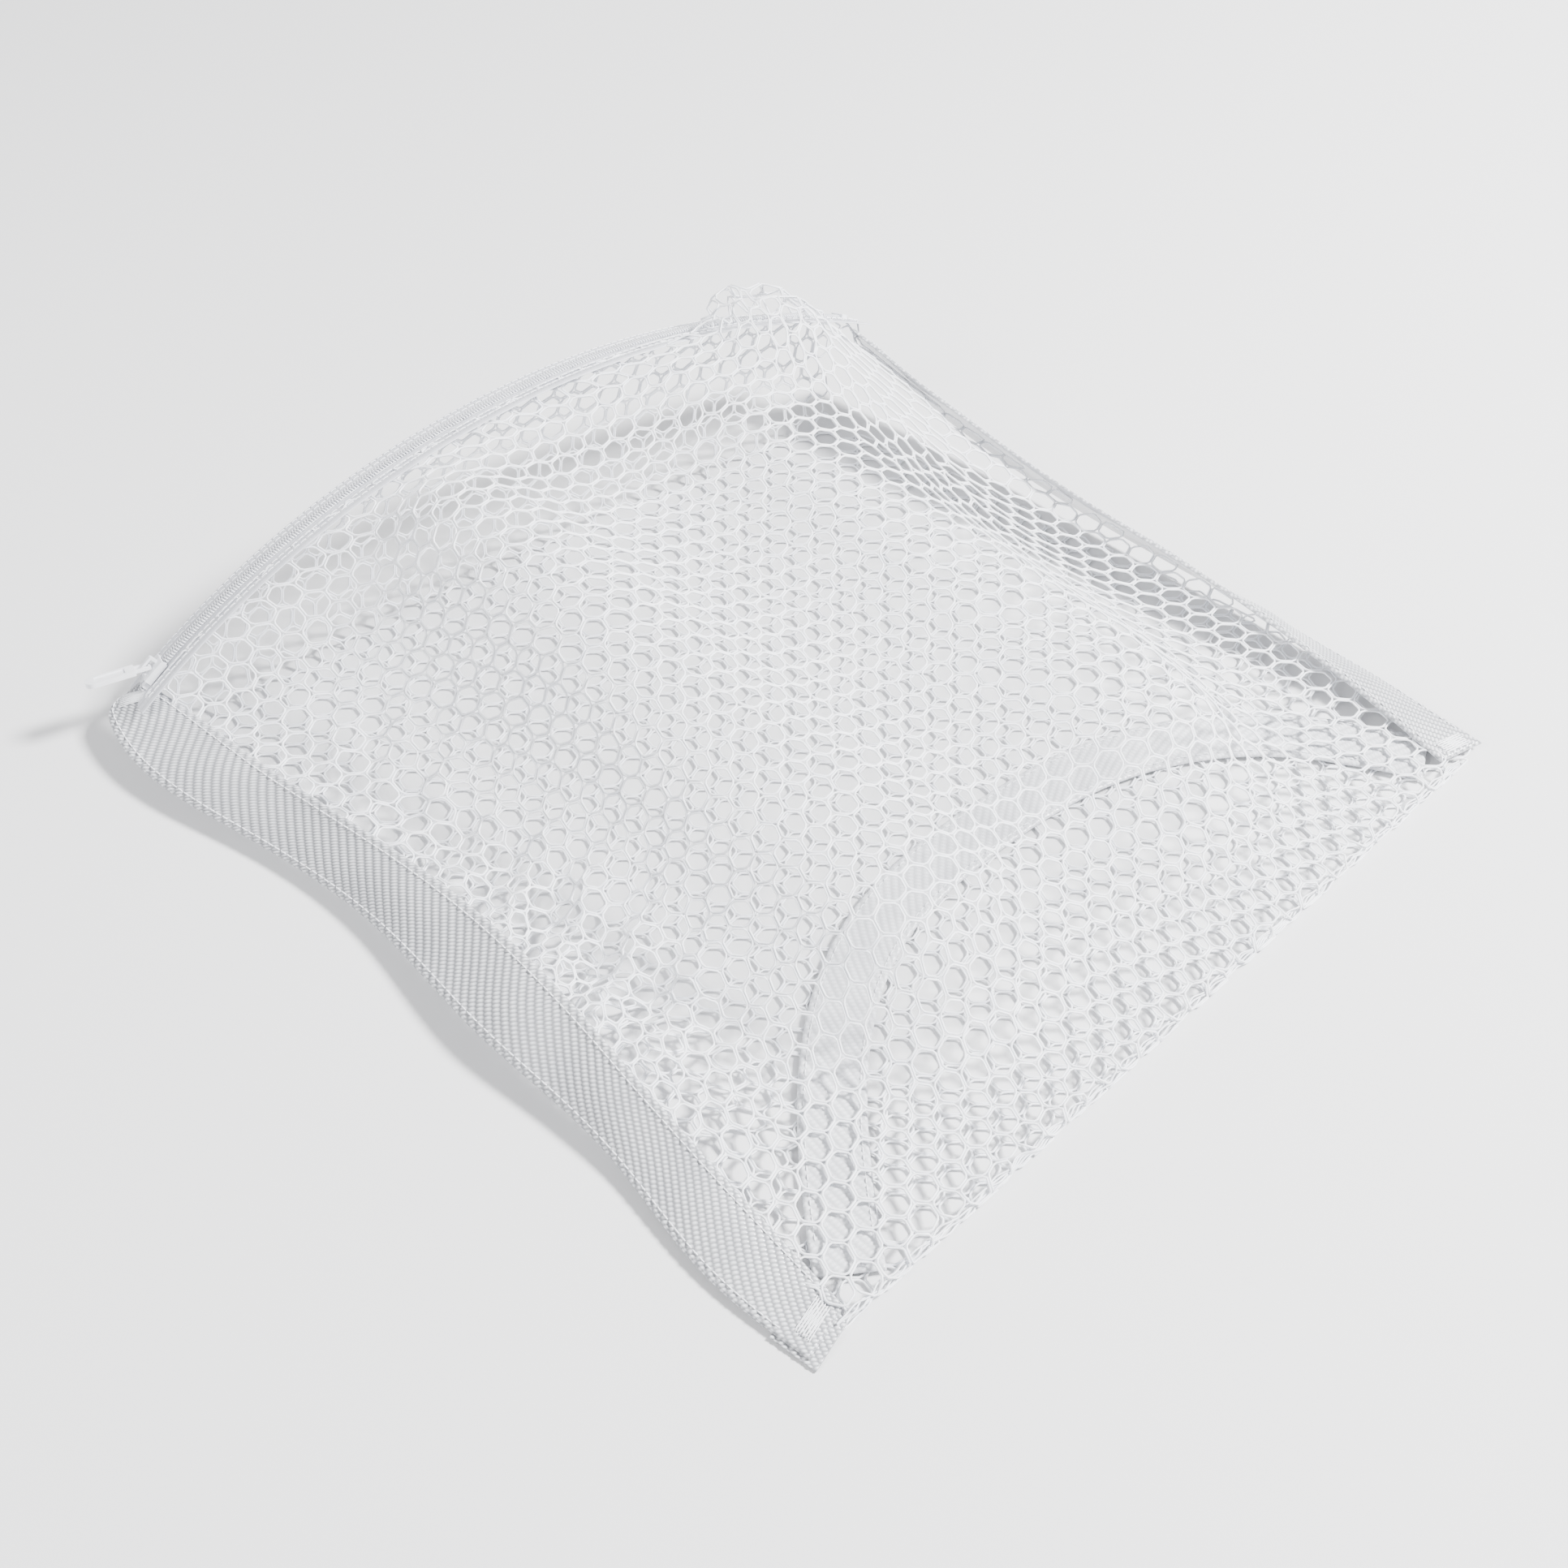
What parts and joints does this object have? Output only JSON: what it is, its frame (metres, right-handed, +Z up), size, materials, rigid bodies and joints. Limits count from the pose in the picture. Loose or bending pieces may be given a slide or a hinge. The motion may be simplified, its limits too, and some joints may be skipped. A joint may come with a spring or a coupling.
{
  "type": "mesh laundry bag",
  "caption": "Square coarse-mesh laundry bag with twill-bound side seams and a zipped mouth, lying filled out on a flat surface.",
  "frame": {"origin": "on the floor, at the middle of the bag's flat underside", "axes": "+X from the zipped mouth to the folded foot, +Y from the front side band to the rear one, +Z up"},
  "size_m": [0.4309, 0.4162, 0.1019],
  "materials": {
    "mesh": "white knitted polyester net",
    "twill_band": "glossy white polyester twill tape",
    "zipper_tape": "matt white woven tape",
    "coil": "white nylon coil",
    "stop_plastic": "white moulded stop",
    "slider_enamel": "white enamelled die casting",
    "pull_plastic": "smooth white moulding",
    "thread": "white sewing thread"
  },
  "bodies": {
    "bag": {"upper_mesh_panel": "mesh", "lower_mesh_panel": "mesh", "front_side_band": "twill_band", "rear_side_band": "twill_band", "foot_band": "twill_band", "zipper_tape_upper": "zipper_tape", "zipper_tape_lower": "zipper_tape", "zipper_coil_upper": "coil", "zipper_coil_lower": "coil", "zipper_top_stops": "stop_plastic", "zipper_bottom_stop": "stop_plastic", "front_band_stitching": "thread", "rear_band_stitching": "thread", "foot_band_stitching": "thread", "zipper_stitching_upper": "thread", "zipper_stitching_lower": "thread", "corner_bar_tacks": "thread"},
    "slider": {"slider_body": "slider_enamel", "slider_crown": "slider_enamel"},
    "pull": {"pull_tab": "pull_plastic"}
  },
  "joints": [
    {"name": "zipper_travel", "type": "hinge", "parent": "bag", "child": "slider", "pos_m": [-0.18891, 0.02804, -0.27523], "axis": [-0.9906, 0.1367, 0], "range_deg": [0, 59.3]},
    {"name": "pull_swing", "type": "hinge", "parent": "slider", "child": "pull", "pos_m": [-0.21958, -0.1803, 0.0303], "axis": [-0.9043, 0.3207, -0.2816], "range_deg": [-22, 134]}
  ]
}
